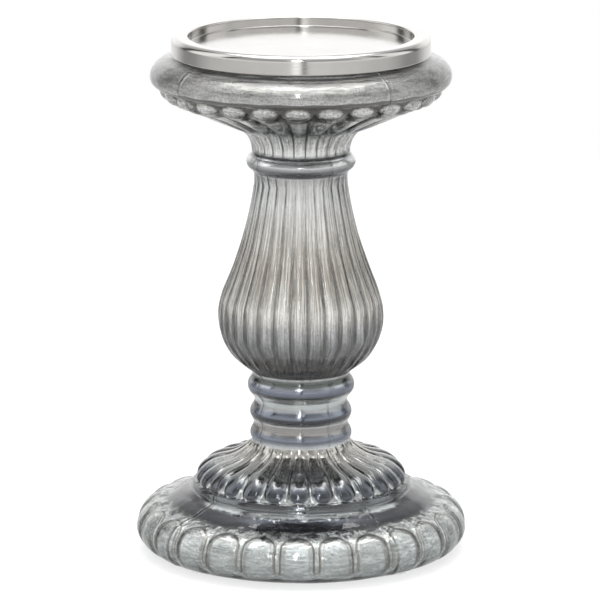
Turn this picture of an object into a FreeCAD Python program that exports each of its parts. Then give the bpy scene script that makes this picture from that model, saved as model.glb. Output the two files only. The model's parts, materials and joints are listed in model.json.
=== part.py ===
"""Glass candlestick: a hollow, mould-blown, silvered glass body under a spun steel candle pan.

Millimetres, +Z up, the table at Z = 0 and the turning axis of the whole piece on Z.
The glass is one blown piece. The pan straddles its ground lip and is bonded there, and
four clear pads keep the ground foot ring off the table.
"""
import FreeCAD, Part
import os
import re

import Sketcher

doc = FreeCAD.newDocument("glass_candlestick")

# ------------------------------------------------------------------ driving dimensions

DIMENSIONS = [
    # pads and foot
    ("pad_height", 1.0, "clear pad under the foot ring, which lifts the glass off the table"),
    ("pad_radius", 4.6, "pad"),
    ("pad_circle", 65.8, "radius of the circle that the pads stand on"),
    ("pad_count", 4, "pads"),
    ("punt_height", 5.0, "height of the pushed-up bottom at the axis"),
    ("ring_inner", 60.0, "inner radius of the ground foot ring"),
    ("ring_outer", 71.5, "outer radius of the ground foot ring"),
    ("foot_radius", 80.0, "widest radius of the foot"),
    ("foot_waist", 9.5, "height of the foot's widest circle"),
    ("foot_under_arc", 9.2, "round from the foot ring up to the widest circle"),
    ("foot_over_arc", 14.6, "round from the widest circle up to the foot's shoulder"),
    ("shoulder_radius", 67.0, "foot shoulder"),
    ("shoulder_height", 25.2, "foot shoulder"),
    # petal dome on the foot
    ("plinth_radius", 52.4, "plain band under the petals"),
    ("plinth_foot", 28.8, "where the band leaves the foot"),
    ("plinth_top", 33.6, "top of the band"),
    ("dome_radius", 39.0, "where the dome turns from swelling to hollow"),
    ("dome_height", 45.6, "the same place's height"),
    ("dome_swell_arc", 17.5, "swelling lower half of the dome"),
    ("dome_hollow_arc", 24.0, "hollow upper half of the dome"),
    ("dome_neck", 24.2, "radius at the top of the dome"),
    ("dome_top", 53.4, "top of the dome"),
    # beads of the stem
    ("waist_radius", 22.8, "stem between its beads"),
    ("bead_a_top", 61.3, "top of the lowest bead"),
    ("bead_a_arc", 4.9, "its section"),
    ("bead_b_foot", 64.0, "foot of the middle bead"),
    ("bead_b_top", 72.0, "top of the middle bead"),
    ("bead_b_arc", 5.0, "its section"),
    ("bead_c_foot", 76.0, "foot of the highest bead"),
    ("bead_c_top", 86.2, "top of the highest bead"),
    ("bead_c_arc", 5.6, "its section"),
    ("valley_arc", 3.0, "hollow between two beads"),
    # ribbed bulb
    ("bulb_foot", 88.0, "where the bulb sits on the stem"),
    ("bulb_waist", 114.5, "height of the bulb's widest circle"),
    ("bulb_radius", 40.1, "its widest radius"),
    ("bulb_under_arc", 29.0, "underside of the bulb"),
    ("bulb_over_arc", 37.5, "upper side of the bulb"),
    ("bulb_turn_radius", 36.7, "where the bulb turns from swelling to hollow"),
    ("bulb_turn", 130.1, "the same place's height"),
    ("bulb_hollow_arc", 186.0, "long hollow sweep up to the collar"),
    ("bulb_neck", 21.6, "radius under the collar"),
    ("bulb_top", 187.0, "height under the collar"),
    # collar and flared neck
    ("collar_edge", 23.2, "collar where it leaves the stem"),
    ("collar_top", 194.0, "top of the collar"),
    ("collar_arc", 3.65, "collar section"),
    ("gap_radius", 22.6, "nick between collar and flare"),
    ("flare_lip", 24.0, "lower lip of the flare"),
    ("flare_lip_height", 194.9, "its height"),
    ("throat_radius", 23.6, "narrowest circle of the flare"),
    ("throat_height", 197.4, "its height"),
    ("flare_arc", 10.8, "sweep of the flare into the dish"),
    ("flare_radius", 32.9, "where the sweep meets the underside of the dish"),
    ("flare_height", 207.6, "its height"),
    # dish and mouth
    ("under_radius", 57.0, "underside of the dish, inner edge of the egg band"),
    ("under_height", 218.6, "its height"),
    ("band_radius", 65.8, "outer edge of the egg band"),
    ("band_height", 222.0, "its height"),
    ("band_arc", 9.0, "round of the egg band"),
    ("step_radius", 67.3, "step from the egg band to the dish's edge"),
    ("step_height", 223.0, "its height"),
    ("dish_radius", 72.5, "widest radius of the dish"),
    ("dish_waist", 231.5, "height of the dish's widest circle"),
    ("dish_under_arc", 9.9, "round below the widest circle"),
    ("dish_over_arc", 9.4, "round above it"),
    ("dish_top_radius", 62.6, "inner edge of the dish's top"),
    ("dish_top", 240.4, "its height"),
    ("lip_outer", 60.0, "ground lip, outer radius"),
    ("lip_inner", 55.6, "ground lip, inner radius"),
    ("lip_top", 249.0, "ground lip"),
    # cavity
    ("bottom_inside", 8.5, "inside of the bottom at the axis"),
    ("foot_inside", 5.6, "inside of the bottom near its edge"),
    ("foot_inner_radius", 75.2, "cavity of the foot at its widest"),
    ("foot_inner_waist", 11.0, "its height"),
    ("foot_inner_arc", 9.5, "its round"),
    ("foot_inner_roof", 20.6, "cavity under the foot's shoulder"),
    ("foot_inner_rim", 64.0, "where that round ends"),
    ("dome_inner_radius", 48.5, "cavity of the dome"),
    ("dome_inner_foot", 24.4, "its height at the foot"),
    ("dome_inner_top", 33.0, "height at which the dome's cavity turns in"),
    ("stem_bore", 20.0, "bore through the beads"),
    ("stem_bore_foot", 50.0, "where the dome's cavity meets the bore"),
    ("stem_bore_top", 92.0, "where the bulb's cavity starts"),
    ("bulb_inner_radius", 35.0, "cavity of the bulb at its widest"),
    ("bulb_inner_under_arc", 27.0, "its round"),
    ("neck_bore", 17.0, "bore through the collar"),
    ("neck_bore_foot", 184.0, "where the bulb's cavity meets the neck"),
    ("neck_bore_top", 203.0, "where the dish's cavity starts"),
    ("dish_inner_floor", 216.5, "dish cavity above the sweep of the flare"),
    ("dish_inner_turn", 38.0, "its radius"),
    ("dish_inner_low", 226.4, "dish cavity above the egg band"),
    ("dish_inner_edge", 60.0, "its radius"),
    ("dish_inner_radius", 68.0, "cavity of the dish at its widest"),
    ("dish_inner_arc", 6.6, "its round below"),
    ("dish_inner_roof", 236.4, "cavity under the dish's shoulder"),
    ("dish_inner_neck", 61.0, "its radius"),
    ("dish_roof_arc", 7.4, "its round above"),
    # fluting
    ("lobe_count", 26, "gadroons on the foot, petals on the dome, flutes on the flare, eggs on the dish"),
    ("rib_count", 28, "ribs on the bulb"),
    ("gadroon_groove", 2.6, "section radius of the groove between two gadroons"),
    ("gadroon_depth", 1.1, "its depth"),
    ("petal_groove", 2.2, "section radius of the groove between two petals"),
    ("petal_depth", 0.9, "its depth"),
    ("rib_groove", 2.2, "section radius of the groove between two ribs"),
    ("rib_depth", 0.8, "its depth"),
    ("flare_groove", 1.8, "section radius of the groove between two flutes of the flare"),
    ("flare_depth", 0.8, "its depth"),
    ("egg_length", 14.2, "egg along the band"),
    ("egg_height", 8.2, "egg up the band"),
    ("egg_depth", 8.6, "egg through the band"),
    ("egg_circle", 61.6, "radius of the circle of egg centres"),
    ("egg_centre", 221.4, "height of the egg centres"),
    # candle pan
    ("pan_sheet", 0.8, "thickness of the spun steel"),
    ("pan_floor", 246.6, "upper face of the pan's floor"),
    ("pan_floor_radius", 52.4, "flat of the floor"),
    ("pan_corner_arc", 1.2, "corner between floor and wall"),
    ("pan_wall_radius", 53.7, "inner wall"),
    ("pan_wall_top", 249.0, "where the wall turns over into the rim"),
    ("rim_inner_arc", 2.0, "inner round of the rim"),
    ("rim_outer_arc", 3.0, "outer round of the rim"),
    ("rim_crest", 251.0, "top of the rim, the height of the whole piece"),
    ("pan_radius", 61.7, "outside of the skirt"),
    ("skirt_foot", 242.0, "lower edge of the skirt"),
    # bond
    ("bond_inner", 56.4, "adhesive bead, inner edge"),
    ("bond_outer", 59.4, "adhesive bead, outer edge"),
]

sheet = doc.addObject("Spreadsheet::Sheet", "sizes")
for row, (alias, value, meaning) in enumerate(DIMENSIONS, start=1):
    sheet.set(f"A{row}", meaning)
    sheet.set(f"B{row}", str(value))
    sheet.setAlias(f"B{row}", alias)
doc.recompute()

# ------------------------------------------------------------------ sketches and features

ALIASES = {alias for alias, _, _ in DIMENSIONS}


def value(expression):
    """Number that an expression over the sheet's aliases has now."""
    return float(sheet.evalExpression(expression))


def bound(expression):
    """The same expression as another object of the document has to write it."""
    return re.sub("[a-z_]+", lambda word: f"sizes.{word[0]}" if word[0] in ALIASES else word[0], expression)


def origin_feature(body, role):
    return next(feature for feature in body.Origin.OriginFeatures if feature.Role == role)


def arc_middle(start, end, radius, side):
    """Middle of the shorter arc; its centre is to the left of start-end for side 1, to the right for -1."""
    chord = end - start
    left = FreeCAD.Vector(-chord.y, chord.x, 0).normalize()
    rise = (radius ** 2 - (chord.Length / 2) ** 2) ** 0.5
    return (start + end) * 0.5 + left * side * (rise - radius)


def new_sketch(body, name, role, lift="0", turn="0"):
    """Sketch on an origin plane, lifted along the plane's normal and turned about the body's Z axis."""
    sketch = body.newObject("Sketcher::SketchObject", name)
    sketch.AttachmentSupport = [(origin_feature(body, role), "")]
    sketch.MapMode = "FlatFace"
    upright = FreeCAD.Vector(0, 1, 0) if role == "XZ_Plane" else FreeCAD.Vector(0, 0, 1)
    sketch.AttachmentOffset = FreeCAD.Placement(
        FreeCAD.Vector(0, 0, value(lift)), FreeCAD.Rotation(upright, value(turn)))
    if lift != "0":
        sketch.setExpression("AttachmentOffset.Base.z", bound(lift))
    if turn != "0":
        sketch.setExpression("AttachmentOffset.Rotation.Angle", bound(turn))
    return sketch


def draw(sketch, corners, closed=True):
    """Outline through corners (radius, height[, arc radius, side]), each place bound to the sheet.

    A corner with an arc radius is reached by that arc from the corner before it, others by a line.
    """
    places = [FreeCAD.Vector(value(corner[0]), value(corner[1]), 0) for corner in corners]
    pairs = list(zip(range(-1, len(corners) - 1), range(len(corners))))
    if not closed:
        pairs = pairs[1:]
    ends = {}
    for before, here in pairs:
        start, end = places[before], places[here]
        if len(corners[here]) == 2:
            edge = sketch.addGeometry(Part.LineSegment(start, end), False)
            ends[here] = (edge, 1, 2)
            continue
        arc_radius, side = corners[here][2:]
        middle = arc_middle(start, end, value(arc_radius), side)
        edge = sketch.addGeometry(Part.Arc(start, middle, end), False)
        first = 1 if sketch.getPoint(edge, 1).distanceToPoint(start) < 1e-6 else 2
        ends[here] = (edge, first, 3 - first)
        index = sketch.addConstraint(Sketcher.Constraint("Radius", edge, value(arc_radius)))
        sketch.setExpression(f"Constraints[{index}]", bound(arc_radius))
    for before, here in pairs:
        previous = before % len(corners)
        if previous in ends:
            sketch.addConstraint(Sketcher.Constraint(
                "Coincident", ends[previous][0], ends[previous][2], ends[here][0], ends[here][1]))
        else:
            pin(sketch, ends[here][0], ends[here][1], corners[previous])
        pin(sketch, ends[here][0], ends[here][2], corners[here])


def pin(sketch, edge, point, corner):
    """Hold one end of an edge at its corner's radius and height."""
    for kind, axis, expression in (("DistanceX", -2, corner[0]), ("DistanceY", -1, corner[1])):
        if expression == "0":
            sketch.addConstraint(Sketcher.Constraint("PointOnObject", edge, point, axis))
            continue
        index = sketch.addConstraint(
            Sketcher.Constraint(kind, -1, 1, edge, point, value(expression)))
        sketch.setExpression(f"Constraints[{index}]", bound(expression))


def turned(body, kind, name, corners):
    """Revolution or Groove of an outline on the XZ plane about the Z axis."""
    sketch = new_sketch(body, name + "_outline", "XZ_Plane")
    draw(sketch, corners)
    feature = body.newObject("PartDesign::" + kind, name)
    feature.Profile = sketch
    feature.ReferenceAxis = (sketch, ["V_Axis"])
    feature.Angle = 360
    body.Tip = feature
    return feature


def repeat(body, name, feature, count):
    """Copies of a feature all round the Z axis."""
    pattern = body.newObject("PartDesign::PolarPattern", name)
    pattern.Originals = [feature]
    pattern.Axis = (origin_feature(body, "Z_Axis"), [""])
    pattern.Angle = 360
    pattern.setExpression("Occurrences", bound(count))
    body.Tip = pattern
    return pattern


def flute(body, name, path, level, groove, depth, count, turn="0"):
    """Round grooves along a path on the surface, as many as count, the first one turned about Z.

    The section circle lies in the plane where the path starts, level or upright, and stands off
    the surface, so that it bites in by depth only.
    """
    spine = new_sketch(body, name + "_path", "XZ_Plane", turn=turn)
    draw(spine, path, closed=False)
    start_radius, start_height = path[0]
    stand_off = f"{groove} - {depth}"
    if level:
        section = new_sketch(body, name + "_section", "XY_Plane", lift=start_height, turn=turn)
        centre = (f"{start_radius} + {stand_off}", "0")
    else:
        section = new_sketch(body, name + "_section", "YZ_Plane", lift=start_radius)
        centre = ("0", f"{start_height} + {stand_off}")
    middle = FreeCAD.Vector(value(centre[0]), value(centre[1]), 0)
    circle = section.addGeometry(Part.Circle(middle, FreeCAD.Vector(0, 0, 1), value(groove)), False)
    pin(section, circle, 3, centre)
    index = section.addConstraint(Sketcher.Constraint("Radius", circle, value(groove)))
    section.setExpression(f"Constraints[{index}]", bound(groove))
    doc.recompute()
    cut = body.newObject("PartDesign::SubtractivePipe", name)
    cut.Profile = section
    cut.Spine = (spine, [f"Edge{number}" for number in range(1, len(path))])
    body.Tip = cut
    doc.recompute()
    return repeat(body, name + "s", cut, count)


# ------------------------------------------------------------------ glass body

def make_glass_body():
    body = doc.addObject("PartDesign::Body", "glass_body")
    turned(body, "Revolution", "foot", [
        ("0", "punt_height"),
        ("ring_inner", "pad_height"),
        ("ring_outer", "pad_height"),
        ("foot_radius", "foot_waist", "foot_under_arc", 1),
        ("shoulder_radius", "shoulder_height", "foot_over_arc", 1),
        ("plinth_radius", "plinth_foot"),
        ("0", "plinth_foot"),
    ])
    turned(body, "Revolution", "dome", [
        ("0", "plinth_foot"),
        ("plinth_radius", "plinth_foot"),
        ("plinth_radius", "plinth_top"),
        ("dome_radius", "dome_height", "dome_swell_arc", 1),
        ("dome_neck", "dome_top", "dome_hollow_arc", -1),
        ("0", "dome_top"),
    ])
    turned(body, "Revolution", "beads", [
        ("0", "dome_top"),
        ("waist_radius", "dome_top"),
        ("waist_radius", "bead_a_top", "bead_a_arc", 1),
        ("waist_radius", "bead_b_foot", "valley_arc", -1),
        ("waist_radius", "bead_b_top", "bead_b_arc", 1),
        ("waist_radius", "bead_c_foot", "valley_arc", -1),
        ("waist_radius", "bead_c_top", "bead_c_arc", 1),
        ("waist_radius", "bulb_foot"),
        ("0", "bulb_foot"),
    ])
    turned(body, "Revolution", "bulb", [
        ("0", "bulb_foot"),
        ("waist_radius", "bulb_foot"),
        ("bulb_radius", "bulb_waist", "bulb_under_arc", 1),
        ("bulb_turn_radius", "bulb_turn", "bulb_over_arc", 1),
        ("bulb_neck", "bulb_top", "bulb_hollow_arc", -1),
        ("0", "bulb_top"),
    ])
    turned(body, "Revolution", "collar_and_flare", [
        ("0", "bulb_top"),
        ("collar_edge", "bulb_top"),
        ("collar_edge", "collar_top", "collar_arc", 1),
        ("gap_radius", "collar_top"),
        ("flare_lip", "flare_lip_height"),
        ("throat_radius", "throat_height", "valley_arc", -1),
        ("flare_radius", "flare_height", "flare_arc", -1),
        ("under_radius", "under_height"),
        ("0", "under_height"),
    ])
    turned(body, "Revolution", "dish", [
        ("0", "under_height"),
        ("under_radius", "under_height"),
        ("band_radius", "band_height", "band_arc", 1),
        ("step_radius", "step_height"),
        ("dish_radius", "dish_waist", "dish_under_arc", 1),
        ("dish_top_radius", "dish_top", "dish_over_arc", 1),
        ("lip_outer", "dish_top"),
        ("lip_outer", "lip_top"),
        ("0", "lip_top"),
    ])
    flute(body, "gadroon_groove", [
        ("shoulder_radius", "shoulder_height"),
        ("foot_radius", "foot_waist", "foot_over_arc", -1),
        ("ring_outer", "pad_height", "foot_under_arc", -1),
    ], False, "gadroon_groove", "gadroon_depth", "lobe_count")
    flute(body, "petal_groove", [
        ("plinth_radius", "plinth_top"),
        ("dome_radius", "dome_height", "dome_swell_arc", 1),
        ("dome_neck", "dome_top", "dome_hollow_arc", -1),
    ], True, "petal_groove", "petal_depth", "lobe_count")
    flute(body, "rib_groove", [
        ("bulb_neck", "bulb_top"),
        ("bulb_turn_radius", "bulb_turn", "bulb_hollow_arc", 1),
        ("bulb_radius", "bulb_waist", "bulb_over_arc", -1),
        ("waist_radius", "bulb_foot", "bulb_under_arc", -1),
    ], True, "rib_groove", "rib_depth", "rib_count", turn="180 / rib_count")
    flute(body, "flare_groove", [
        ("throat_radius", "throat_height"),
        ("flare_radius", "flare_height", "flare_arc", -1),
    ], True, "flare_groove", "flare_depth", "lobe_count")
    ring_of_eggs(body)
    turned(body, "Groove", "cavity", [
        ("0", "bottom_inside"),
        ("foot_inner_rim", "foot_inside"),
        ("foot_inner_radius", "foot_inner_waist", "foot_inner_arc", 1),
        ("foot_inner_rim", "foot_inner_roof", "foot_inner_arc * 1.3", 1),
        ("dome_inner_radius", "dome_inner_foot"),
        ("dome_inner_radius", "dome_inner_top"),
        ("stem_bore", "stem_bore_foot"),
        ("stem_bore", "stem_bore_top"),
        ("bulb_inner_radius", "bulb_waist", "bulb_inner_under_arc", 1),
        ("neck_bore", "neck_bore_foot"),
        ("neck_bore", "neck_bore_top"),
        ("dish_inner_turn", "dish_inner_floor"),
        ("dish_inner_edge", "dish_inner_low"),
        ("dish_inner_radius", "dish_waist", "dish_inner_arc", 1),
        ("dish_inner_neck", "dish_inner_roof", "dish_roof_arc", 1),
        ("lip_inner", "dish_inner_roof"),
        ("lip_inner", "lip_top"),
        ("0", "lip_top"),
    ])
    return body


def ring_of_eggs(body):
    """Ellipsoids round the lower edge of the dish, an egg centred on -Y."""
    egg = body.newObject("PartDesign::AdditiveEllipsoid", "egg")
    egg.AttachmentSupport = [(origin_feature(body, "XY_Plane"), "")]
    egg.MapMode = "FlatFace"
    half_pitch = "180 / lobe_count"
    egg.AttachmentOffset = FreeCAD.Placement(
        FreeCAD.Vector(0, 0, 0), FreeCAD.Rotation(FreeCAD.Vector(0, 0, 1), value(half_pitch)))
    for place, expression in (
        ("AttachmentOffset.Base.x", f"egg_circle * cos({half_pitch})"),
        ("AttachmentOffset.Base.y", f"egg_circle * sin({half_pitch})"),
        ("AttachmentOffset.Base.z", "egg_centre"),
        ("AttachmentOffset.Rotation.Angle", half_pitch),
        ("Radius1", "egg_height / 2"),
        ("Radius2", "egg_depth / 2"),
        ("Radius3", "egg_length / 2"),
    ):
        egg.setExpression(place, bound(expression))
    body.Tip = egg
    doc.recompute()
    return repeat(body, "eggs", egg, "lobe_count")


# ------------------------------------------------------------------ candle pan, bond and pads

def make_candle_pan():
    """Spun steel: flat floor, low wall, rolled rim and a skirt that hides the glass lip."""
    body = doc.addObject("PartDesign::Body", "candle_pan")
    turned(body, "Revolution", "pan", [
        ("0", "pan_floor - pan_sheet"),
        ("pan_floor_radius", "pan_floor - pan_sheet"),
        ("pan_wall_radius + pan_sheet", "pan_floor + pan_corner_arc", "pan_corner_arc + pan_sheet", 1),
        ("pan_wall_radius + pan_sheet", "pan_wall_top"),
        ("pan_wall_radius + rim_inner_arc", "rim_crest - pan_sheet", "rim_inner_arc - pan_sheet", -1),
        ("pan_radius - rim_outer_arc", "rim_crest - pan_sheet"),
        ("pan_radius - pan_sheet", "rim_crest - rim_outer_arc", "rim_outer_arc - pan_sheet", -1),
        ("pan_radius - pan_sheet", "skirt_foot"),
        ("pan_radius", "skirt_foot"),
        ("pan_radius", "rim_crest - rim_outer_arc"),
        ("pan_radius - rim_outer_arc", "rim_crest", "rim_outer_arc", 1),
        ("pan_wall_radius + rim_inner_arc", "rim_crest"),
        ("pan_wall_radius", "pan_wall_top", "rim_inner_arc", 1),
        ("pan_wall_radius", "pan_floor + pan_corner_arc"),
        ("pan_floor_radius", "pan_floor", "pan_corner_arc * 1.1", -1),
        ("0", "pan_floor"),
    ])
    return body


def make_rim_bond():
    """Bead of clear adhesive between the glass lip and the roof of the pan's rim."""
    body = doc.addObject("PartDesign::Body", "rim_bond")
    turned(body, "Revolution", "bead", [
        ("bond_inner", "lip_top"),
        ("bond_outer", "lip_top"),
        ("bond_outer", "rim_crest - pan_sheet", "rim_crest - pan_sheet - lip_top", 1),
        ("bond_inner", "rim_crest - pan_sheet"),
    ])
    return body


def make_foot_pads():
    """Clear pads under the ground foot ring, evenly round it."""
    pads = []
    for number in range(int(value("pad_count"))):
        pad = doc.addObject("Part::Cylinder", f"pad_{number + 1}")
        pad.setExpression("Radius", bound("pad_radius"))
        pad.setExpression("Height", bound("pad_height"))
        bearing = f"({number} + 0.5) * 360 / pad_count"
        pad.setExpression("Placement.Base.x", bound(f"pad_circle * cos({bearing})"))
        pad.setExpression("Placement.Base.y", bound(f"pad_circle * sin({bearing})"))
        pads.append(pad)
    group = doc.addObject("Part::Compound", "foot_pads")
    group.Links = pads
    return group


# ------------------------------------------------------------------ build, test, export

def check(piece):
    """Stop on a failed feature or a shape that is missing or invalid."""
    for thing in doc.Objects:
        if "Invalid" in thing.State or "Error" in thing.State:
            raise RuntimeError(f"{thing.Label} failed: {thing.State}")
    if piece.Shape.isNull() or not piece.Shape.isValid():
        raise RuntimeError(f"{piece.Label} has no valid shape")


pieces = [make_glass_body(), make_candle_pan(), make_rim_bond(), make_foot_pads()]
doc.recompute()
os.makedirs("parts", exist_ok=True)
for piece in pieces:
    check(piece)
    piece.Shape.exportStep(f"parts/{piece.Label}.step")
    print(f"{piece.Label}: {len(piece.Shape.Solids)} solid(s), {piece.Shape.Volume / 1000:.2f} cm3")
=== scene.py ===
"""Glass candlestick: a silvered, mould-blown body with a spun steel candle pan bonded on its mouth.

Metres, +Z up. The turning axis is on Z, the table at Z = 0, and the front faces -Y.
"""
import json
import math

import bpy
import numpy as np
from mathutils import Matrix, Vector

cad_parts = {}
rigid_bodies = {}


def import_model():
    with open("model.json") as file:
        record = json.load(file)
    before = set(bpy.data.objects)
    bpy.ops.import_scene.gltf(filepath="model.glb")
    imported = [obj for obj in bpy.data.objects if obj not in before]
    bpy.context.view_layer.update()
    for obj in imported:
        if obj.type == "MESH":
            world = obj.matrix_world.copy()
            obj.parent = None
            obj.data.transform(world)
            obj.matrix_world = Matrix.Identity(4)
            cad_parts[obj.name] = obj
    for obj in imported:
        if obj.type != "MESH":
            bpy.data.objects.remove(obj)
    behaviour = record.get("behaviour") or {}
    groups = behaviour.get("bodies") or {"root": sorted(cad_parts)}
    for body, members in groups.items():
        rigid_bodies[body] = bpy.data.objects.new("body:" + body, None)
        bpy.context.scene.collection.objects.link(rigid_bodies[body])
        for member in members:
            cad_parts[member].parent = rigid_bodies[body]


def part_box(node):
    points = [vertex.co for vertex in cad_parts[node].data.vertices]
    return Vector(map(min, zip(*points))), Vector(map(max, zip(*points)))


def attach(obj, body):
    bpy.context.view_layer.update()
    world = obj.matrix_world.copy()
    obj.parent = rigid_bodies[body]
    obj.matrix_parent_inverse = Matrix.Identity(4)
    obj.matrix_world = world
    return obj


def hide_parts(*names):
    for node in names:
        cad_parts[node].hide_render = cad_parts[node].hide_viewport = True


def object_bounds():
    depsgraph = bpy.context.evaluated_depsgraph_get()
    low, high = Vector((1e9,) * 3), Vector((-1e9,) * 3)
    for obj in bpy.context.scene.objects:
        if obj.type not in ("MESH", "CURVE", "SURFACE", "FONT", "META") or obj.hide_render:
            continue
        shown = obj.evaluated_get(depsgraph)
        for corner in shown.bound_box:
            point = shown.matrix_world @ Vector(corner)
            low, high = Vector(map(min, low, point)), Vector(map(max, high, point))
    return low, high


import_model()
cad_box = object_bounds()

# ---------------------------------------------------------------- silvered glass body
# One hollow piece of thick soda glass, blown into a fluted mould whose four parts leave seams.
# The hollow is silvered and backed, so the film is seen through the wall, mottled where it is thin.

glass_low, glass_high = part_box("glass_body")
MOULD_HEIGHT = 248.0  # millimetres of the mould drawing, from the foot ring to the ground lip
MM = (glass_high[2] - glass_low[2]) / MOULD_HEIGHT

LOBES = 26  # gadroons on the foot, petals on the dome, flutes on the flare, eggs on the dish
RIBS = 28  # ribs on the bulb
COLUMNS = 14 * LOBES  # also 13 to a rib, so both kinds of valley fall on the grid
SEAM_COLUMNS = np.array([-144, -53, 38, 129])  # where the mould parts meet, a quarter turn apart
SEAM_HALF = 0.28  # degrees from a seam's ridge to its edge
SEAM_HIGH = 0.16  # millimetres that a seam stands up

# Zone by zone up the outside: wall behind it, then radius, height, arc (+ swells, - hollow, 0
# straight) and rows of each stretch.
OUTSIDE = [
    ("bottom", 3.8, [(60.0, 1.0, 0, 3)]),
    ("ring", 3.8, [(70.6, 1.0, 0, 2)]),
    ("gadroons", 2.6, [(80.0, 10.5, 11.0, 7), (67.0, 25.2, 14.6, 16)]),
    ("foot top", 2.6, [(52.6, 29.4, 0, 7)]),
    ("plinth", 1.8, [(52.6, 33.2, 0, 4)]),
    ("petals", 1.5, [(39.0, 45.6, 17.5, 17), (24.2, 53.4, -24.0, 9)]),
    ("beads", 1.2, [(22.8, 53.4, 0, 1), (22.8, 61.3, 4.9, 7), (22.8, 64.0, -3.0, 2), (22.8, 72.0, 5.0, 7),
                    (22.8, 76.0, -3.0, 3), (22.8, 86.2, 5.6, 8), (22.8, 88.0, 0, 1)]),
    ("ribs", 2.2, [(40.1, 114.5, 29.0, 11), (36.7, 130.1, 37.5, 5), (21.6, 186.4, -186.0, 11)]),
    ("collar", 1.2, [(23.2, 186.4, 0, 1), (23.2, 194.6, 4.2, 8), (22.6, 194.6, 0, 1)]),
    ("flutes", 1.5, [(24.0, 195.4, 0, 1), (23.6, 197.6, -3.0, 2), (32.9, 207.6, -10.8, 7),
                     (55.0, 217.4, 0, 6), (62.0, 219.6, 0, 2)]),
    ("eggs", 1.8, [(68.9, 227.0, 20.0, 9), (69.6, 227.5, 0, 1)]),
    ("dish", 2.6, [(72.5, 231.5, 7.0, 4), (62.6, 240.4, 9.4, 6), (60.0, 240.4, 0, 1)]),
    ("lip", 4.4, [(60.0, 249.0, 0, 2), (55.6, 249.0, 0, 1)]),
]
BOTTOM_START = (4.0, 4.8)  # radius and height where the outline starts, beside the axis
MOUTH = [("mouth", [(55.6, 238.0, 0, 3)])]  # the inside of the lip, going down
MOUTH_START = (55.6, 249.0)
BOTTOM_TOP = 5.0  # height of the pushed-up bottom, on the axis
HOLLOW_FLOOR = 8.6  # height of the film's lowest point, on the axis

FINE_FILM = ["gadroons", "plinth", "petals", "beads", "collar", "eggs"]  # zones with more film rows
OUTER_ROUNDING = 2  # passes that soften the outside's corners
FILM_ROUNDING = 3
FILM_RELIEF = 0.85  # share of the outside's relief that the inside follows
WALL_BLENDING = 6  # passes that ease one wall thickness into the next


def turned_outline(start, zones, rounding):
    """Points, zone names and arc lengths of an outline for turning.

    A stretch runs from the last point to its own. Arc 0 divides the line evenly. Any other arc is
    the radius of a circle, whose centre is on the chord's normal, off the chord's middle by the
    square root of arc squared less the square of half the chord, and whose points turn about it by
    equal angles. `rounding` passes of a quarter, half, quarter average then soften the corners.
    """
    points, names = [np.array([complex(*start)])], [zones[0][0]]
    for name, *_, stretches in zones:
        for radius, height, arc, rows in stretches:
            here, there = points[-1][-1], complex(radius, height)
            steps = np.arange(1, rows + 1) / rows
            chord = there - here
            if arc:
                reach = math.sqrt(arc * arc - abs(chord) ** 2 / 4)
                centre = (here + there) / 2 + math.copysign(reach, arc) * 1j * chord / abs(chord)
                angle = math.copysign(2 * math.asin(abs(chord) / 2 / abs(arc)), arc)
                points.append(centre + (here - centre) * np.exp(1j * angle * steps))
            else:
                points.append(here + chord * steps)
            names += [name] * rows
    line = np.concatenate(points)
    for _ in range(rounding):
        line[1:-1] = (line[:-2] + 2 * line[1:-1] + line[2:]) / 4
    length = np.concatenate([[0], np.cumsum(abs(np.diff(line)))])
    return line, np.array(names), length


def tongue(across, beyond, half, rise):
    """1 on the middle line of a round-ended tongue, 0 on its outline and less outside.

    One less the distance from the middle line over `half`; past the end of the straight sides
    the distance along, over `rise`, is added to it as the other leg of a right triangle.
    """
    return 1 - np.hypot(across / half, np.maximum(beyond, 0) / rise)


def swell(depth, soft):
    """Quarter-round edge: 0 at the outline, 1 from `soft` inside it, on a quarter of a circle."""
    inward = 1 - np.clip(depth / soft, 0, 1)
    return np.sqrt(1 - inward ** 2)


def ease(value, low, high):
    """Smooth step: 3 t squared less 2 t cubed, where t runs from 0 at low to 1 at high."""
    part = np.clip((value - low) / (high - low), 0, 1)
    return part * part * (3 - 2 * part)


def gadroon_relief(turn, along, radius, whole):
    """Cushions with arched tops: swelled tongues, crowned across, on a ground 0.85 deep.

    Each relief gives its height and its lobe: 1 on a crown, 0 on the outline and less outside it.
    """
    share = 0.42  # of the pitch, from a cushion's middle to its side
    half = share * 2 * math.pi / LOBES * radius
    arch_start, arch_rise = whole - 12.0, 8.0
    body = tongue(turn[0] * half / share, along - arch_start, half, arch_rise)
    lobes = 0.85 * (swell(body, 0.40) - 1) - 0.4 * (2 * turn[0]) ** 2
    low = ease(along, 3, 12)  # the cushions run out on to the plain rim of the foot
    return lobes * low, 1 - (1 - body) * low


def foot_top_relief(turn, along, radius, whole):
    """The ground beyond the gadroons climbs back to the drawing over its first two thirds."""
    return -1.5 * (1 - ease(along, 0, whole * 0.66)) + 0 * turn[0], 1 + 0 * (along + turn[0])


def plinth_relief(turn, along, radius, whole):
    """A plain band, slightly hollow between its two edges."""
    return -0.35 * np.sin(np.pi * np.clip(along / whole, 0, 1)) + 0 * turn[0], 1 + 0 * (along + turn[0])


def petal_relief(turn, along, radius, whole):
    """Petals with fingertip ends near the band: round in section, narrower and flatter upwards."""
    share = 0.43  # of the pitch, from a petal's middle to its side
    half = share * 2 * math.pi / LOBES * radius
    tip_start, tip_rise = 7.6, 6.4
    body = tongue(turn[0] * half / share, tip_start - along, half, tip_rise)
    crown = 2.3 - 1.2 * ease(along, 6, whole)
    height = crown * (swell(body, 1.0) - 1)
    return height * ease(along, 0, 1.0) * (1 - ease(along, whole - 2, whole)), body


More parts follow.
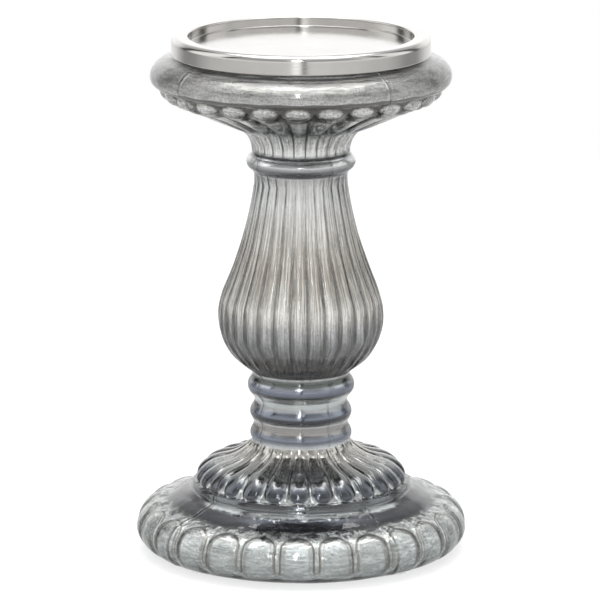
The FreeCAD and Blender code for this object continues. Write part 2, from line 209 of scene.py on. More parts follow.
def rib_relief(turn, along, radius, whole):
    """Convex ribs, nearly a parabola across each, 1.15 deep, that fade to a third towards the collar."""
    full = 1.15
    deep = full * ease(along, 0.5, 9) * (1 - 0.70 * ease(along, whole * 0.55, whole - 8))
    fade = 1 - ease(along, whole - 2.5, whole)
    across = np.abs(2 * turn[1])
    return -deep * across ** 2.2 * fade, 1 - across * (0.25 + 0.75 * deep / full)


def flute_relief(turn, along, radius, whole):
    """Convex flutes, a parabola across each, which start above the collar and deepen to the eggs."""
    deep = 1.0 + 1.5 * ease(along, 3, 16)
    fade = ease(along, 0.4, 3) * (1 - 0.3 * ease(along, whole - 4, whole))
    narrow = 1.35 * ease(along, 0, whole)  # the dark valleys widen upwards
    across = np.abs(2 * turn[0])
    return -deep * across ** 2.0 * fade, 1 - across * (0.98 + 0.42 * narrow)


def egg_relief(turn, along, radius, whole):
    """Eggs lying end to end: half-ellipsoids 2.3 high on a ground 1.7 deep."""
    share, middle, half = 0.42, whole * 0.46, 4.5
    body = 1 - np.hypot(turn[0] / share, (along - middle) / half)
    ground = -1.7 * ease(along, -2, 1.2) * (1 - ease(along, whole - 1.8, whole - 0.4))
    return ground + 2.3 * swell(body, 1.0) * (body > 0), body


def plain_relief(turn, along, radius, whole):
    """Nothing stands up."""
    return 0 * (turn[0] + along), 1 + 0 * (turn[0] + along)


RELIEF = {"gadroons": gadroon_relief, "foot top": foot_top_relief, "plinth": plinth_relief,
          "petals": petal_relief, "ribs": rib_relief, "flutes": flute_relief, "eggs": egg_relief}


def blown_wall(line, names, length, angles, depth, inset=0.0):
    """Grid of points (row, column, xyz) of one side of the wall, in metres, and its lobes.

    Each point is the outline's, moved back along the outline's normal by `inset`, and out along it
    by `depth` times the sum of its zone's relief, a slow sway of the wall (four sines of bearing
    and length) and the seams, then turned about Z.
    """
    heading = np.gradient(line)
    normal = heading / abs(heading) * -1j
    turn = [(angles * count / (2 * math.pi) + 0.5) % 1 - 0.5 for count in (LOBES, RIBS)]
    relief, lobe = np.zeros((2, len(line), len(angles)))
    for name in dict.fromkeys(names):
        rows = np.flatnonzero(names == name)
        first = length[max(rows[0] - 1, 0)]
        along, whole = (length[rows] - first)[:, None], length[rows[-1]] - first
        shape = RELIEF.get(name, plain_relief)
        relief[rows], lobe[rows] = shape(turn, along, line.real[rows][:, None], whole)
    along = length[:, None]
    sway = (0.09 * np.sin(3 * angles + 0.11 * along) + 0.06 * np.sin(7 * angles - 0.19 * along + 1)
            + 0.04 * np.sin(12 * angles + 0.41 * along + 2) + 0.03 * np.sin(19 * angles - 0.63 * along))
    relief += (sway - 0.15) * ease(line.real, 8, 40)[:, None]
    for seam in SEAM_COLUMNS * 2 * math.pi / COLUMNS:
        away = abs((angles - seam + math.pi) % (2 * math.pi) - math.pi)
        ridge = np.maximum(0, 1 - away / math.radians(SEAM_HALF))
        relief += SEAM_HIGH * ridge
        lobe = np.minimum(lobe, 1 - 0.98 * ridge)
    moved = line[:, None] + (depth * relief - inset) * normal[:, None]
    grid = np.stack([moved.real * np.sin(angles), -moved.real * np.cos(angles), moved.imag], -1)
    return grid * MM, lobe


def closed_skin(name, rows, low_pole, high_pole, film_row):
    """Mesh of a grid closed round the axis, with a fan to a point on the axis at each end.

    Vertex (row, column) is row * columns + column. Each cell is one quad, wound so that it faces
    outwards, and cells from `film_row` on, with the last fan, get the second material slot.
    """
    count, columns = rows.shape[:2]
    spot = np.arange(count * columns).reshape(count, columns)
    beside = np.roll(spot, -1, 1)
    quads = np.stack([spot[:-1], beside[:-1], beside[1:], spot[1:]], -1).reshape(-1, 4)
    low, high = count * columns, count * columns + 1
    low_fan = np.stack([np.full(columns, low), beside[0], spot[0]], -1)
    high_fan = np.stack([np.full(columns, high), spot[-1], beside[-1]], -1)
    points = np.concatenate([rows.reshape(-1, 3), [low_pole, high_pole]])
    mesh = bpy.data.meshes.new(name)
    mesh.from_pydata(points, [], quads.tolist() + low_fan.tolist() + high_fan.tolist())
    film = np.concatenate([np.repeat(np.arange(count - 1) >= film_row, columns),
                           np.zeros(columns, bool), np.full(columns, film_row < count)])
    mesh.polygons.foreach_set("material_index", film.astype(np.int32))
    mesh.polygons.foreach_set("use_smooth", np.ones(len(mesh.polygons), bool))
    piece = bpy.data.objects.new(name, mesh)
    bpy.context.scene.collection.objects.link(piece)
    return piece


even = np.arange(COLUMNS) * 2 * math.pi / COLUMNS
ridges = [(SEAM_COLUMNS * 2 * math.pi / COLUMNS + side) % (2 * math.pi)
          for side in (-math.radians(SEAM_HALF), math.radians(SEAM_HALF))]
column_angles = np.sort(np.concatenate([even, *ridges]))

line, names, length = turned_outline(BOTTOM_START, OUTSIDE, OUTER_ROUNDING)
outer_skin, outer_lobe = blown_wall(line, names, length, column_angles, 1.0)

# The film's side of the wall is the same outline with its corners blown round, one wall further
# in. It keeps every third row, two rows of three in the fine zones, every sixth in the ribs, and
# none in the lip, where the mouth goes down inside instead.
soft_line, _, soft_length = turned_outline(BOTTOM_START, OUTSIDE, FILM_ROUNDING)
walls = {name: wall for name, wall, _ in OUTSIDE}
inset = np.array([walls[name] for name in names])
for _ in range(WALL_BLENDING):
    inset[1:-1] = (inset[:-2] + 2 * inset[1:-1] + inset[2:]) / 4
film_skin, film_lobe = blown_wall(soft_line, names, soft_length, column_angles, FILM_RELIEF,
                                  inset[:, None])
row = np.arange(len(line))
kept = ((row % 3 == 0) | (np.isin(names, FINE_FILM) & (row % 3 == 1))) & (names != "lip")
kept &= (names != "ribs") | (row % 2 == 0)
film_skin = film_skin[kept][::-1]
mouth_line, _, _ = turned_outline(MOUTH_START, MOUTH, 0)
mouth_skin = np.stack(np.broadcast_arrays(
    mouth_line.real[1:, None] * np.sin(column_angles), -mouth_line.real[1:, None] * np.cos(column_angles),
    mouth_line.imag[1:, None]), -1) * MM
glass_body = closed_skin("silvered_body", np.concatenate([outer_skin, mouth_skin, film_skin]),
                         (0, 0, BOTTOM_TOP * MM), (0, 0, HOLLOW_FLOOR * MM), len(outer_skin))

# A point's place on the drawn-out wall, (cos, sin, arc length), so that streaks follow the wall.
WRAP = 0.05  # radius of the roll that the wall is drawn on
wall_length = np.concatenate([length, np.full(len(mouth_skin), length[-1]), length[kept][::-1]])
roll = np.stack(np.broadcast_arrays(WRAP * np.sin(column_angles), -WRAP * np.cos(column_angles),
                                    wall_length[:, None] * MM), -1).reshape(-1, 3)
roll = np.concatenate([roll, [[0, 0, 0], [0, 0, 0]]])
drawn_out = glass_body.data.attributes.new("wall", "FLOAT_VECTOR", "POINT")
drawn_out.data.foreach_set("vector", roll.astype(np.float32).ravel())

# Where a point is on its lobe: a half on the outline, 1 on the crown and less in the folds.
lobes = np.concatenate([outer_lobe.ravel(), np.ones(mouth_skin[..., 0].size),
                        film_lobe[kept][::-1].ravel(), [1, 1]])
lobe_mark = glass_body.data.attributes.new("lobe", "FLOAT", "POINT")
lobe_mark.data.foreach_set("value", np.clip(lobes / 2 + 0.5, 0, 1).astype(np.float32))


def new_material(name):
    """An empty node material, with its tree, Principled shader and output linked."""
    material = bpy.data.materials.new(name)
    material.use_nodes = True
    tree = material.node_tree
    tree.nodes.clear()
    output = tree.nodes.new("ShaderNodeOutputMaterial")
    shader = tree.nodes.new("ShaderNodeBsdfPrincipled")
    tree.links.new(shader.outputs[0], output.inputs["Surface"])
    return material, tree, shader


def feed(tree, socket, value):
    """Links a socket to another, or sets it to a plain value."""
    if isinstance(value, bpy.types.NodeSocket):
        tree.links.new(value, socket)
    else:
        socket.default_value = value


def sum_of(tree, operation, first, second=0.0, third=0.0):
    """One Math node."""
    math_node = tree.nodes.new("ShaderNodeMath")
    math_node.operation = operation
    for socket, value in zip(math_node.inputs, (first, second, third)):
        feed(tree, socket, value)
    return math_node.outputs[0]


def noise(tree, place, scale, stretch=(1, 1, 1), detail=4.0, roughness=0.55):
    """Noise at `scale` cycles a metre, on a place stretched by one factor each way."""
    mapping = tree.nodes.new("ShaderNodeMapping")
    mapping.inputs["Scale"].default_value = stretch
    tree.links.new(place, mapping.inputs["Vector"])
    texture = tree.nodes.new("ShaderNodeTexNoise")
    tree.links.new(mapping.outputs[0], texture.inputs["Vector"])
    for name, value in (("Scale", scale), ("Detail", detail), ("Roughness", roughness)):
        texture.inputs[name].default_value = value
    return texture.outputs[0]


def ramp(tree, value, stops):
    """Colour ramp, straight between (place, colour) stops; a plain number is a grey."""
    node = tree.nodes.new("ShaderNodeValToRGB")
    feed(tree, node.inputs[0], value)
    marks = node.color_ramp.elements
    while len(marks) < len(stops):
        marks.new(1.0)
    for mark, (place, colour) in zip(marks, stops):
        mark.position = place
        mark.color = (*colour, 1) if isinstance(colour, tuple) else (colour, colour, colour, 1)
    return node.outputs[0]


def blended(tree, kind, amount, first, second):
    """One colour Mix node: `second` over `first` by `amount`."""
    mix = tree.nodes.new("ShaderNodeMix")
    mix.data_type, mix.blend_type = "RGBA", kind
    for socket, value in zip((mix.inputs[0], mix.inputs[6], mix.inputs[7]), (amount, first, second)):
        feed(tree, socket, (*value, 1) if isinstance(value, tuple) else value)
    return mix.outputs[2]


def bump(tree, shader, height, strength, distance):
    """Bump from a height, into the shader's normal."""
    node = tree.nodes.new("ShaderNodeBump")
    node.inputs["Strength"].default_value = strength
    node.inputs["Distance"].default_value = distance
    tree.links.new(height, node.inputs["Height"])
    tree.links.new(node.outputs[0], shader.inputs["Normal"])


def coordinates(tree, attribute=None):
    """Object coordinates, or the named attribute of the mesh."""
    if attribute:
        node = tree.nodes.new("ShaderNodeAttribute")
        node.attribute_name = attribute
        return node.outputs["Vector"]
    return tree.nodes.new("ShaderNodeTexCoord").outputs["Object"]


def mesh_value(tree, attribute):
    """A number that the mesh carries at each point."""
    node = tree.nodes.new("ShaderNodeAttribute")
    node.attribute_name = attribute
    return node.outputs["Fac"]


def height_share(tree):
    """0 at the table, 1 at the crest of the pan."""
    split = tree.nodes.new("ShaderNodeSeparateXYZ")
    tree.links.new(coordinates(tree), split.inputs[0])
    return sum_of(tree, "DIVIDE", split.outputs["Z"], float(cad_box[1][2]))


def fold_line(tree, lobe, level):
    """1 in the folds between lobes; on the foot, 1 on a cushion's arched outline and a little inside."""
    valley = ramp(tree, lobe, [(0.515, 1.0), (0.60, 0.0)])
    arch = ramp(tree, lobe, [(0.46, 0.0), (0.485, 1.0), (0.515, 1.0), (0.545, 0.0), (0.60, 0.0), (0.63, 0.4),
                             (0.66, 0.0)])
    return blended(tree, "MIX", ramp(tree, level, [(0.100, 0.0), (0.115, 1.0)]), arch, valley)


# Clear soda glass: faintly grey-green, smooth from the mould, with slow ripples and fine seed.
clear_glass, tree, shader = new_material("clear_glass")
place, level = coordinates(tree), height_share(tree)
fold = fold_line(tree, mesh_value(tree, "lobe"), level)
shader.inputs["Transmission Weight"].default_value = 1.0
shader.inputs["IOR"].default_value = 1.5
waves = noise(tree, place, 30, detail=2)
glass_tint_and_fold_shade = ramp(tree, waves, [(0.3, (0.945, 0.97, 0.962)), (0.7, (0.975, 0.988, 0.982))])
# In the folds between lobes, on the seams and on the foot cushions' arched outlines, the glass is tinted dark
# brown-grey: painted shade. It is strongest at the foot and dish, and absent on the petals and beads.
glass_fold_shade = ramp(tree, level, [(0.09, 0.75), (0.11, 0.0), (0.35, 0.0), (0.38, 0.25), (0.74, 0.15), (0.79, 0.35),
                           (0.89, 0.6), (0.93, 0.6)])
glass_tint_and_fold_shade = blended(tree, "MIX", sum_of(tree, "MULTIPLY", glass_fold_shade, fold), glass_tint_and_fold_shade, (0.42, 0.40, 0.36))
tree.links.new(glass_tint_and_fold_shade, shader.inputs["Base Color"])
feed(tree, shader.inputs["Roughness"], ramp(tree, noise(tree, place, 70), [(0.4, 0.0), (0.75, 0.05)]))
slow, quick = noise(tree, place, 60, detail=2), noise(tree, place, 210, detail=3)
ripple = sum_of(tree, "MULTIPLY_ADD", slow, 3.0, quick)
bump(tree, shader, ripple, 0.12, 0.0006)
glass_body.data.materials.append(clear_glass)

# Silver film: bright with thin dark places, warm on the bulb. The dark and pale bands at the foot, plinth,
# petals, beads, lower bulb, collar and flare are partly the film's own tone and partly painted reflection and
# painted shade, standing in for what thick glass bends and mirrors there. They are colour on the film, so
# they stay in any other light.
silver_film, tree, shader = new_material("silver_film")
place, wall, level = coordinates(tree), coordinates(tree, "wall"), height_share(tree)
fold = fold_line(tree, mesh_value(tree, "lobe"), level)
cloud = noise(tree, place, 45, detail=3)
torn = noise(tree, place, 300, stretch=(1, 1, 0.4), detail=5, roughness=0.75)
tear = ramp(tree, level, [(0.10, 0.045), (0.115, 0.0), (0.35, 0.0), (0.38, 0.06), (0.70, 0.06), (0.73, 0.0)])
torn_level = sum_of(tree, "MULTIPLY_ADD", sum_of(tree, "SUBTRACT", torn, 0.5), tear, level)
# Up the height, the film is darker toward the foot's bottom edge, dark on the foot top, a pale line then grey
# on the plinth, dark at the petal ends and paler above, darker on the lower bulb, dark-pale-dark round the
# collar, and dark on the flare under the eggs. This is painted shade and painted reflection over the film's
# own tone.
zones = ramp(tree, torn_level, [
    (0.000, (0.40, 0.435, 0.435)), (0.072, (0.76, 0.79, 0.79)), (0.086, (0.94, 0.95, 0.95)),
    (0.089, (0.08, 0.085, 0.10)), (0.107, (0.07, 0.075, 0.09)), (0.109, (0.56, 0.58, 0.58)),
    (0.112, (0.56, 0.58, 0.58)), (0.114, (0.17, 0.18, 0.19)), (0.126, (0.17, 0.18, 0.19)),
    (0.134, (0.07, 0.075, 0.09)), (0.158, (0.11, 0.12, 0.14)), (0.168, (0.34, 0.345, 0.35)),
    (0.200, (0.62, 0.59, 0.55)), (0.353, (0.14, 0.135, 0.135)), (0.385, (0.22, 0.21, 0.21)),
    (0.425, (0.36, 0.365, 0.38)), (0.450, (0.62, 0.62, 0.63)), (0.475, (0.96, 0.94, 0.91)),
    (0.560, (0.62, 0.585, 0.54)), (0.640, (0.80, 0.78, 0.75)), (0.690, (1.0, 1.0, 1.0)),
    (0.738, (0.76, 0.76, 0.76)), (0.741, (0.08, 0.08, 0.09)), (0.752, (0.12, 0.12, 0.13)),
    (0.765, (0.97, 0.98, 1.0)), (0.770, (0.97, 0.98, 1.0)), (0.773, (0.06, 0.06, 0.07)),
    (0.779, (0.08, 0.08, 0.09)), (0.784, (1.0, 1.0, 1.0)), (0.822, (1.0, 1.0, 1.0)),
    (0.838, (0.15, 0.16, 0.175)), (0.860, (0.98, 0.98, 0.97))])
# Pale, slate-blue and near-black bands round the beads and the necks between them: painted reflection and
# painted shade.
bead_painted_reflections = ramp(tree, level, [
    (0.2130, (0.62, 0.63, 0.65)), (0.2215, (0.70, 0.71, 0.73)), (0.2235, (0.19, 0.21, 0.26)),
    (0.2350, (0.22, 0.24, 0.29)), (0.2385, (0.34, 0.33, 0.325)), (0.2555, (0.42, 0.405, 0.395)),
    (0.2600, (0.85, 0.86, 0.88)), (0.2625, (0.05, 0.05, 0.06)), (0.2700, (0.07, 0.07, 0.08)),
    (0.2720, (0.17, 0.19, 0.24)), (0.2815, (0.24, 0.26, 0.31)), (0.2850, (0.40, 0.41, 0.43)),
    (0.2900, (0.44, 0.45, 0.46)), (0.2935, (0.60, 0.63, 0.63)), (0.3090, (0.66, 0.69, 0.69)),
    (0.3115, (1.0, 1.0, 1.0)), (0.3135, (0.06, 0.06, 0.07)), (0.3180, (0.07, 0.07, 0.08)),
    (0.3205, (0.20, 0.22, 0.28)), (0.3300, (0.24, 0.26, 0.32)), (0.3335, (0.60, 0.61, 0.63)),
    (0.3360, (0.11, 0.125, 0.115)), (0.3470, (0.13, 0.145, 0.135)), (0.3490, (0.96, 0.97, 1.0))])
on_beads = ramp(tree, level, [(0.2120, 0.0), (0.2130, 1.0), (0.3510, 1.0), (0.3530, 0.0)])
zones = blended(tree, "MIX", on_beads, zones, bead_painted_reflections)
on_dish = ramp(tree, level, [(0.912, 0.0), (0.928, 1.0)])
zones = blended(tree, "MIX", on_dish, zones, (0.50, 0.495, 0.485))
clouds = ramp(tree, cloud, [(0.35, (0.86, 0.85, 0.84)), (0.62, (1.0, 1.0, 1.0))])
zones = blended(tree, "MULTIPLY", 1.0, zones, clouds)
speck = noise(tree, place, 1300, detail=4, roughness=0.8)
specks = ramp(tree, speck, [(0.40, 0.30), (0.52, 1.0)])
around = noise(tree, place, 300, stretch=(0.6, 0.6, 3.2), detail=5, roughness=0.7)
rings = ramp(tree, around, [(0.42, 0.42), (0.54, 1.0)])
along = noise(tree, wall, 420, stretch=(2.2, 2.2, 0.08), detail=5, roughness=0.7)
streaks = ramp(tree, along, [(0.42, (0.34, 0.305, 0.26)), (0.54, (1.0, 1.0, 1.0))])
on_bulb = ramp(tree, level, [(0.34, 0.0), (0.40, 1.0), (0.84, 1.0), (0.90, 0.0)])
pattern = blended(tree, "MIX", on_bulb, rings, streaks)
worn = ramp(tree, level, [(0.09, 0.45), (0.105, 0.08), (0.21, 0.08), (0.34, 0.08), (0.36, 0.5), (0.60, 0.6),
                          (0.72, 0.2), (0.75, 0.05), (0.78, 0.15), (0.80, 0.4), (0.895, 0.55), (0.912, 0.48)])
silver = blended(tree, "MULTIPLY", worn, zones, pattern)
speckled = ramp(tree, level, [(0.10, 0.3), (0.13, 0.05), (0.16, 0.15), (0.19, 0.6), (0.22, 0.06),
                              (0.33, 0.06), (0.36, 0.95), (0.42, 0.45), (0.50, 0.25), (0.74, 0.1),
                              (0.80, 0.45), (0.88, 0.7), (0.895, 0.7), (0.912, 0.62)])
silver = blended(tree, "MULTIPLY", speckled, silver, specks)
# The film in the folds between lobes and ribs, on the seams and on the foot cushions' arched outlines is
# dark. It is brownish at the foot and on the bulb, near black on the flare and between the eggs, and paler on
# the ground between the petals. This is painted shade in the valleys and a painted highlight between the
# petals.
fold_shade_and_highlight = ramp(tree, level, [
    (0.085, (0.25, 0.235, 0.20)), (0.10, (0.10, 0.10, 0.11)), (0.125, (0.60, 0.62, 0.63)),
    (0.20, (0.62, 0.61, 0.59)), (0.34, (0.20, 0.20, 0.22)), (0.40, (0.13, 0.125, 0.12)),
    (0.60, (0.28, 0.255, 0.225)), (0.74, (0.55, 0.55, 0.56)), (0.78, (0.06, 0.062, 0.068)),
    (0.86, (0.05, 0.05, 0.055)), (0.90, (0.16, 0.155, 0.15))])
fold_shade_strength = ramp(tree, level, [(0.085, 0.8), (0.11, 0.8), (0.20, 0.7), (0.36, 0.9), (0.74, 0.6),
                                   (0.78, 0.95)])
silver = blended(tree, "MIX", sum_of(tree, "MULTIPLY", fold_shade_strength, fold), silver, fold_shade_and_highlight)
tree.links.new(silver, shader.inputs["Base Color"])
shader.inputs["Metallic"].default_value = 1.0
evenness = ramp(tree, level, [(0.085, 0.20), (0.10, 0.04), (0.12, 0.05), (0.34, 0.04), (0.38, 0.10),
                              (0.74, 0.10), (0.76, 0.04), (0.83, 0.05), (0.86, 0.10), (0.90, 0.24),
                              (0.92, 0.28)])
rough = sum_of(tree, "MULTIPLY_ADD", ramp(tree, cloud, [(0.35, 0.0), (0.70, 1.0)]), 0.06, evenness)
tree.links.new(rough, shader.inputs["Roughness"])
grain = sum_of(tree, "MULTIPLY", sum_of(tree, "MULTIPLY_ADD", speck, 0.4, pattern), worn)
bump(tree, shader, grain, 0.35, 0.0005)
glass_body.data.materials.append(silver_film)

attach(glass_body, "root")
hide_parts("glass_body")

# ---------------------------------------------------------------- candle pan
# Spun from one disc of thin stainless steel and polished on the lathe: a flat floor, a low wall,
# and a rim that rolls over the ground lip of the glass and hangs down outside it as a skirt.

PAN = [
    ("floor", [(53.45, 246.6, 0, 30), (53.7, 246.85, 0.25, 3)]),
    ("wall", [(53.7, 250.4, 0, 4), (54.3, 251.0, -0.6, 5), (58.7, 251.0, 0, 6), (61.7, 248.0, -3.0, 12)]),
    ("skirt", [(61.7, 242.3, 0, 16), (61.4, 242.0, -0.3, 3), (61.2, 242.0, 0, 1), (60.9, 242.3, -0.3, 3)]),
    ("under", [(60.9, 248.0, 0, 6), (58.7, 250.2, 2.2, 8), (54.9, 250.2, 0, 3), (54.5, 249.8, 0.4, 3),
               (54.5, 247.2, 0, 2), (53.1, 245.8, -1.4, 6), (3.0, 245.8, 0, 6)]),
]
PAN_FLOOR = 246.6
PAN_UNDER = 245.8
PAN_COLUMNS = 256

pan_line, _, _ = turned_outline((3.0, PAN_FLOOR), PAN, 0)
pan_angles = np.arange(PAN_COLUMNS) * 2 * math.pi / PAN_COLUMNS
pan_line = pan_line[:, None] + 0 * pan_angles
pan_skin = np.stack([pan_line.real * np.sin(pan_angles), -pan_line.real * np.cos(pan_angles),
                     pan_line.imag], -1) * MM
candle_pan = closed_skin("candle_pan_steel", pan_skin[:, ::-1], (0, 0, PAN_FLOOR * MM),
                         (0, 0, PAN_UNDER * MM), len(pan_skin))

steel, tree, shader = new_material("spun_steel")
place = coordinates(tree)
split = tree.nodes.new("ShaderNodeSeparateXYZ")
tree.links.new(place, split.inputs[0])
flat = tree.nodes.new("ShaderNodeCombineXYZ")
tree.links.new(split.outputs[0], flat.inputs[0])
tree.links.new(split.outputs[1], flat.inputs[1])
reach = tree.nodes.new("ShaderNodeVectorMath")
reach.operation = "LENGTH"
tree.links.new(flat.outputs[0], reach.inputs[0])
lathe = tree.nodes.new("ShaderNodeCombineXYZ")
tree.links.new(reach.outputs["Value"], lathe.inputs[0])
tree.links.new(split.outputs[2], lathe.inputs[1])
turnings = noise(tree, lathe.outputs[0], 2600, detail=3)
smear = noise(tree, place, 40, detail=3)
warm_grey = ramp(tree, smear, [(0.3, (0.52, 0.505, 0.485)), (0.7, (0.58, 0.57, 0.55))])
tree.links.new(warm_grey, shader.inputs["Base Color"])
shader.inputs["Metallic"].default_value = 1.0
feed(tree, shader.inputs["Roughness"], ramp(tree, turnings, [(0.3, 0.10), (0.7, 0.19)]))
bump(tree, shader, turnings, 0.10, 0.00005)
candle_pan.data.materials.append(steel)

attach(candle_pan, "root")
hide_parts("candle_pan")

# ---------------------------------------------------------------- rim bond
# A bead of clear silicone laid round the ground lip, which cures between glass and steel.



def dress(node, finish):
    """Gives a CAD node and its parts, whose names start with the node's, one material."""
    for thing in bpy.context.scene.objects:
        if thing.name.startswith(node):
            thing.data.materials.clear()
            thing.data.materials.append(finish)


bond, tree, shader = new_material("clear_silicone")
shader.inputs["Transmission Weight"].default_value = 0.7
shader.inputs["IOR"].default_value = 1.41
haze = noise(tree, coordinates(tree), 240)
milky = ramp(tree, haze, [(0.3, (0.78, 0.78, 0.74)), (0.7, (0.88, 0.88, 0.85))])
tree.links.new(milky, shader.inputs["Base Color"])
feed(tree, shader.inputs["Roughness"], ramp(tree, haze, [(0.3, 0.30), (0.7, 0.48)]))
bump(tree, shader, haze, 0.2, 0.0004)
dress("rim_bond", bond)

# ---------------------------------------------------------------- foot pads
# Four domed discs of clear polyurethane, pressed by their own adhesive on the ground foot ring.

pad, tree, shader = new_material("clear_polyurethane")
shader.inputs["Transmission Weight"].default_value = 0.85
shader.inputs["IOR"].default_value = 1.49
bloom = noise(tree, coordinates(tree), 400)
dulled = ramp(tree, bloom, [(0.3, (0.84, 0.86, 0.85)), (0.7, (0.93, 0.94, 0.93))])
tree.links.new(dulled, shader.inputs["Base Color"])
feed(tree, shader.inputs["Roughness"], ramp(tree, bloom, [(0.3, 0.16), (0.7, 0.30)]))
bump(tree, shader, bloom, 0.15, 0.0003)
dress("foot_pads", pad)

# ---------------------------------------------------------------- studio
# A pale table in a white cove: soft light overhead, a lit backdrop, and dark gaps between panels,
# placed so that the glass and the steel have edges to mirror. The camera sees plain white behind.

TABLE_REACH = 4.0 * float(cad_box[1][2])
TABLE_CORNERS = 96
TABLE_SEEN_BY_OBJECT = 0.82  # grey that glass and steel reflect
TABLE_BACKLIGHT = 1.25  # strength of the lit paper
BACKLIT_SHARE = 0.55  # of the table's look, the rest being its own shading

ring = np.arange(TABLE_CORNERS) * 2 * math.pi / TABLE_CORNERS
mesh = bpy.data.meshes.new("table")
edge = np.stack([TABLE_REACH * np.cos(ring), TABLE_REACH * np.sin(ring), 0 * ring], -1)
mesh.from_pydata(edge, [], [range(TABLE_CORNERS)])
table = bpy.data.objects.new("table", mesh)
bpy.context.scene.collection.objects.link(table)
paper, tree, shader = new_material("pale_table")
fibres = noise(tree, coordinates(tree), 900, detail=3)
paper_white = ramp(tree, fibres, [(0.3, (0.90, 0.90, 0.90)), (0.7, (0.93, 0.93, 0.93))])
tree.links.new(paper_white, shader.inputs["Base Color"])
shader.inputs["Roughness"].default_value = 0.9


def compass(*stops):
    """Stops in degrees from the front made places on a bearing ramp."""
    return [((degrees + 180) / 360, grey) for degrees, grey in stops]


def climb(*stops):
    """Stops in degrees above the horizon made places on the height ramp."""
    return [((math.sin(math.radians(degrees)) + 1) / 2, grey) for degrees, grey in stops]


def bearing_of(tree, direction):
    """Degrees from the front, left -180 to right 180, as 0 to 1; also the direction's Z."""
    split = tree.nodes.new("ShaderNodeSeparateXYZ")
    tree.links.new(direction, split.inputs[0])
    turn = sum_of(tree, "ARCTAN2", split.outputs[0], sum_of(tree, "MULTIPLY", split.outputs[1], -1.0))
    return sum_of(tree, "MULTIPLY_ADD", turn, 0.5 / math.pi, 0.5), split.outputs[2]


TUBE_STRENGTH = 16.0  # of the narrow upright lamp in front
LOW_SIDE = compass((-180, 1.1), (-145, 1.0), (-125, 0.40), (-108, 0.40), (-85, 0.76), (-40, 0.92), (-7, 0.94),
                   (-5.3, 1.7), (0.8, 1.7), (2.6, 0.20), (5.6, 0.20), (7, 0.94), (40, 0.92), (85, 0.76),
                   (108, 0.40), (125, 0.40), (145, 1.0), (180, 1.1))

# The table is paper lit from below, so its shadows are faint; glass and steel see it evenly grey.
glow = tree.nodes.new("ShaderNodeEmission")
glow.inputs["Color"].default_value = (TABLE_SEEN_BY_OBJECT, TABLE_SEEN_BY_OBJECT, TABLE_SEEN_BY_OBJECT, 1)
plain = tree.nodes.new("ShaderNodeEmission")
plain.inputs["Strength"].default_value = TABLE_BACKLIGHT
shown = tree.nodes.new("ShaderNodeMixShader")
shown.inputs[0].default_value = BACKLIT_SHARE
tree.links.new(shader.outputs[0], shown.inputs[1])
tree.links.new(plain.outputs[0], shown.inputs[2])
path = tree.nodes.new("ShaderNodeLightPath")
either = tree.nodes.new("ShaderNodeMixShader")
tree.links.new(path.outputs["Is Camera Ray"], either.inputs[0])
tree.links.new(glow.outputs[0], either.inputs[1])
tree.links.new(shown.outputs[0], either.inputs[2])
table_output = next(node for node in tree.nodes if node.type == "OUTPUT_MATERIAL")
tree.links.new(either.outputs[0], table_output.inputs["Surface"])
table.data.materials.append(paper)

world = bpy.data.worlds.new("studio")
bpy.context.scene.world = world
world.use_nodes = True
tree = world.node_tree
tree.nodes.clear()
output = tree.nodes.new("ShaderNodeOutputWorld")
light = tree.nodes.new("ShaderNodeBackground")
tree.links.new(light.outputs[0], output.inputs["Surface"])
bearing, upward = bearing_of(tree, tree.nodes.new("ShaderNodeTexCoord").outputs["Generated"])
rise = sum_of(tree, "MULTIPLY_ADD", upward, 0.5, 0.5)
panels = ramp(tree, bearing, compass(
    (-180, 1.40), (-148, 1.35), (-135, 0.9), (-128, 0.10), (-119, 0.10), (-112, 1.4), (-84, 1.5),
    (-76, 1.5), (-73, 0.04), (-67, 0.04), (-62, 0.62), (-30, 0.55), (-7, 0.50), (-4.5, 3.0), (0.0, 3.0),
    (1.6, 0.04), (5.6, 0.04), (7, 0.50), (38, 0.55), (56, 0.62), (62, 1.0), (72, 1.0), (75, 0.05),
    (81, 0.05), (86, 1.3), (112, 1.4), (119, 0.12), (127, 0.12), (134, 0.9), (150, 1.35), (180, 1.40)))
below = ramp(tree, rise, climb((-2, 1.0), (2, 0.0)))
panels = blended(tree, "MIX", below, panels, ramp(tree, bearing, LOW_SIDE))
behind = ramp(tree, bearing, compass((-135, 1.0), (-95, 0.0), (95, 0.0), (135, 1.0)))
gap = ramp(tree, rise, climb((20, 1.0), (26, 0.55), (50, 0.55), (58, 1.0)))
gap = blended(tree, "MIX", behind, (1.0, 1.0, 1.0), gap)
overhead = ramp(tree, rise, climb((44, 0.0), (58, 1.0)))
near = ramp(tree, rise, climb((-5, 0.0), (-2, 1.0), (13, 1.0), (18, 0.0)))
facing = ramp(tree, bearing, compass((-95, 0.0), (-80, 1.0), (80, 1.0), (95, 0.0)))
near = sum_of(tree, "MULTIPLY", near, facing)
daylight = ramp(tree, bearing, compass(
    (-6, 1.10), (-4.5, 1.8), (0.5, 1.8), (1.8, 0.05), (5.4, 0.05), (6.4, 1.10)))
around_level = blended(tree, "MIX", near, blended(tree, "MULTIPLY", 1.0, panels, gap), daylight)
surroundings = blended(tree, "MIX", overhead, around_level, (0.96, 0.97, 0.99))
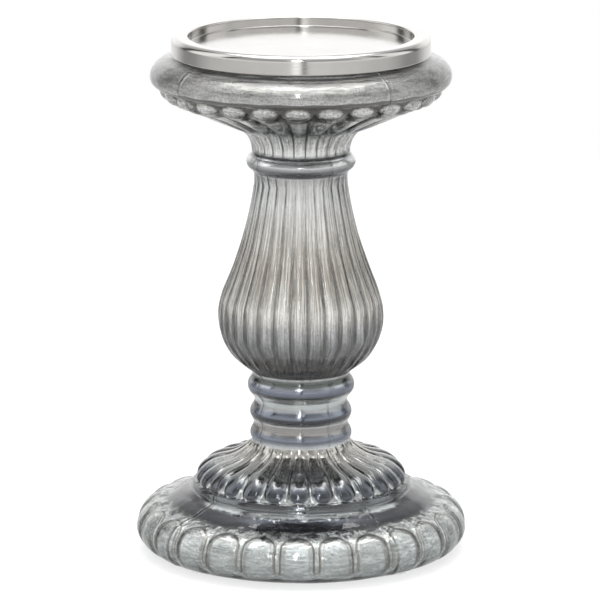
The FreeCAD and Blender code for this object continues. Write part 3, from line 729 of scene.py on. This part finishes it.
tube = sum_of(tree, "MULTIPLY", ramp(tree, rise, climb((22, 0.0), (23, 1.0), (46, 1.0), (47, 0.0))),
              ramp(tree, bearing, compass((-3.5, 0.0), (-3, 1.0), (-1, 1.0), (-0.5, 0.0))))
surroundings = blended(tree, "ADD", 1.0, surroundings, sum_of(tree, "MULTIPLY", tube, TUBE_STRENGTH))
path = tree.nodes.new("ShaderNodeLightPath")
seen = blended(tree, "MIX", path.outputs["Is Camera Ray"], surroundings, (1.0, 1.0, 1.0))
tree.links.new(seen, light.inputs["Color"])
light.inputs["Strength"].default_value = 1.0

# One wide soft box overhead, a little behind the object and tipped towards its foot.
BOX_BEHIND = 0.10
BOX_HEIGHT = 1.25
lamp = bpy.data.lights.new("overhead_box", "AREA")
lamp.shape = "RECTANGLE"
lamp.size = 1.0
lamp.size_y = 0.8
lamp.energy = 9.0
lamp.color = (1.0, 0.99, 0.97)
box = bpy.data.objects.new("overhead_box", lamp)
bpy.context.scene.collection.objects.link(box)
box.location = (0, BOX_BEHIND, BOX_HEIGHT)
box.rotation_euler = (math.atan2(BOX_BEHIND, BOX_HEIGHT), 0, -math.pi)
box.visible_camera = False

# The camera: a long lens a little above the pan, a touch to the right of the front lobe.
CAMERA_REACH = 2.199
CAMERA_HEIGHT = 0.6178
CAMERA_BEARING = math.radians(1.4)
CAMERA_DIP = math.radians(12.7)
CAMERA_TURN = math.radians(0.012)  # away from the axis, to the left
LENS = 281.7  # focal length in millimetres, on a sensor 36 wide
lens = bpy.data.cameras.new("camera")
lens.lens = LENS
lens.sensor_width = 36.0
camera = bpy.data.objects.new("camera", lens)
bpy.context.scene.collection.objects.link(camera)
camera.location = (CAMERA_REACH * math.sin(CAMERA_BEARING), -CAMERA_REACH * math.cos(CAMERA_BEARING),
                   CAMERA_HEIGHT)
camera.rotation_euler = (math.pi / 2 - CAMERA_DIP, 0, CAMERA_BEARING + CAMERA_TURN)
bpy.context.scene.camera = camera
bpy.context.scene.view_settings.view_transform = "Standard"
